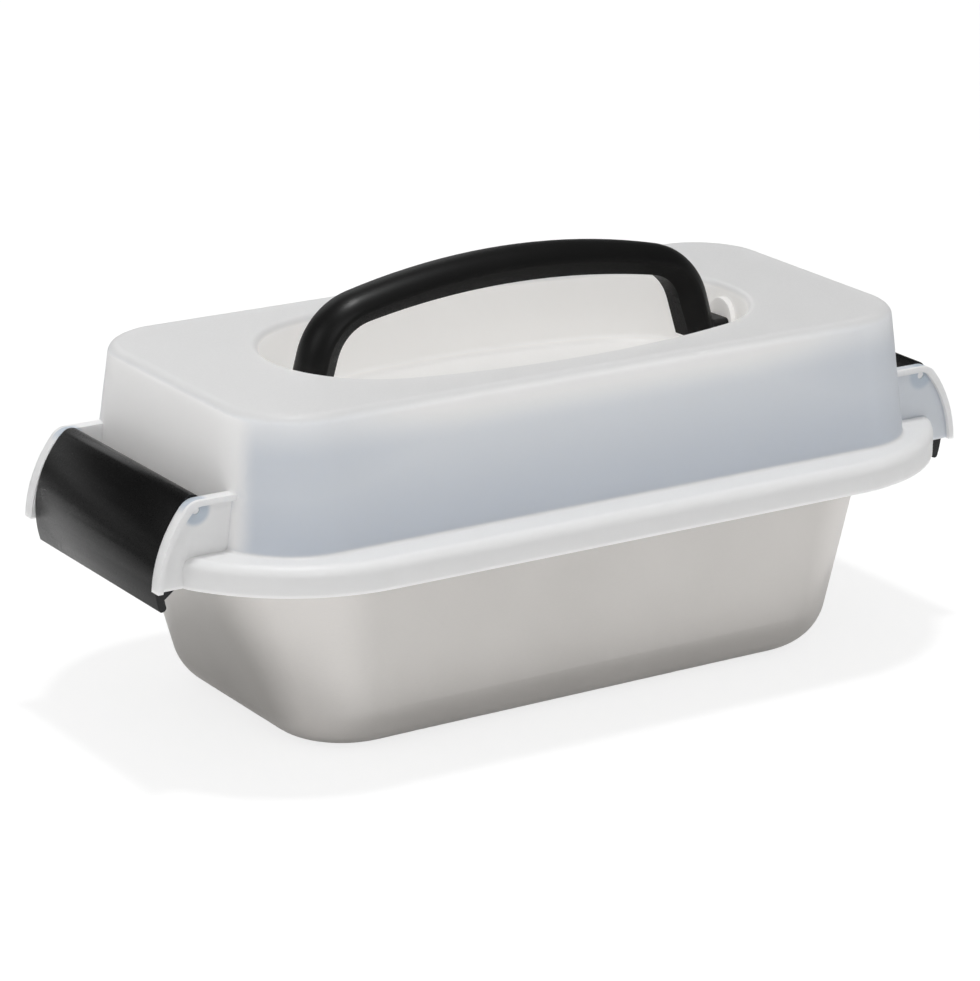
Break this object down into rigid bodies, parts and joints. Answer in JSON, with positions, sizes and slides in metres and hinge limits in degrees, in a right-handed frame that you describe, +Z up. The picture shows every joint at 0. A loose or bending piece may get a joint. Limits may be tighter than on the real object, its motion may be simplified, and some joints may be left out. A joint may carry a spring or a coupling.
{
  "type": "cake pan with carrying lid",
  "caption": "Rectangular steel loaf pan with round corners under a frosted domed lid with a bail handle in an oval well and a hooked latch at each end.",
  "frame": {"origin": "middle of the underside of the pan, on the surface that it stands on", "axes": "+X along the pan, towards the latch that is at the right in the picture; +Z up; +Y away from the viewer"},
  "size_m": [0.2982, 0.1456, 0.1369],
  "materials": {
    "pan_steel": "satin drawn stainless steel",
    "frosted_plastic": "milky translucent moulded plastic with a satin surface",
    "handle_plastic": "black plastic with a fine soft texture",
    "latch_plastic": "black plastic with a satin surface",
    "pin_steel": "drawn steel wire"
  },
  "bodies": {
    "pan": {"pan": "pan_steel"},
    "lid": {"lid": "frosted_plastic", "latch_pin_right": "pin_steel", "latch_pin_left": "pin_steel"},
    "handle": {"carry_handle": "handle_plastic"},
    "latch_right": {"latch_right": "latch_plastic"},
    "latch_left": {"latch_left": "latch_plastic"}
  },
  "joints": [
    {"name": "lid_lift", "type": "slide", "parent": "pan", "child": "lid", "axis": [0, 0, 1], "range_m": [0, 0.045]},
    {"name": "handle_fold", "type": "hinge", "parent": "lid", "child": "handle", "pos_m": [0, 0, 0.0982], "axis": [1, 0, 0], "range_deg": [-88, 92]},
    {"name": "latch_right_open", "type": "hinge", "parent": "lid", "child": "latch_right", "pos_m": [0.1353, 0, 0.0849], "axis": [0, -1, 0], "range_deg": [0, 115]},
    {"name": "latch_left_open", "type": "hinge", "parent": "lid", "child": "latch_left", "pos_m": [-0.1353, 0, 0.0849], "axis": [0, 1, 0], "range_deg": [0, 115]}
  ],
  "couplings": [
    {"joint": "latch_right_open", "follows": "lid_lift", "rad_per_m": 44.6},
    {"joint": "latch_left_open", "follows": "lid_lift", "rad_per_m": 44.6}
  ]
}
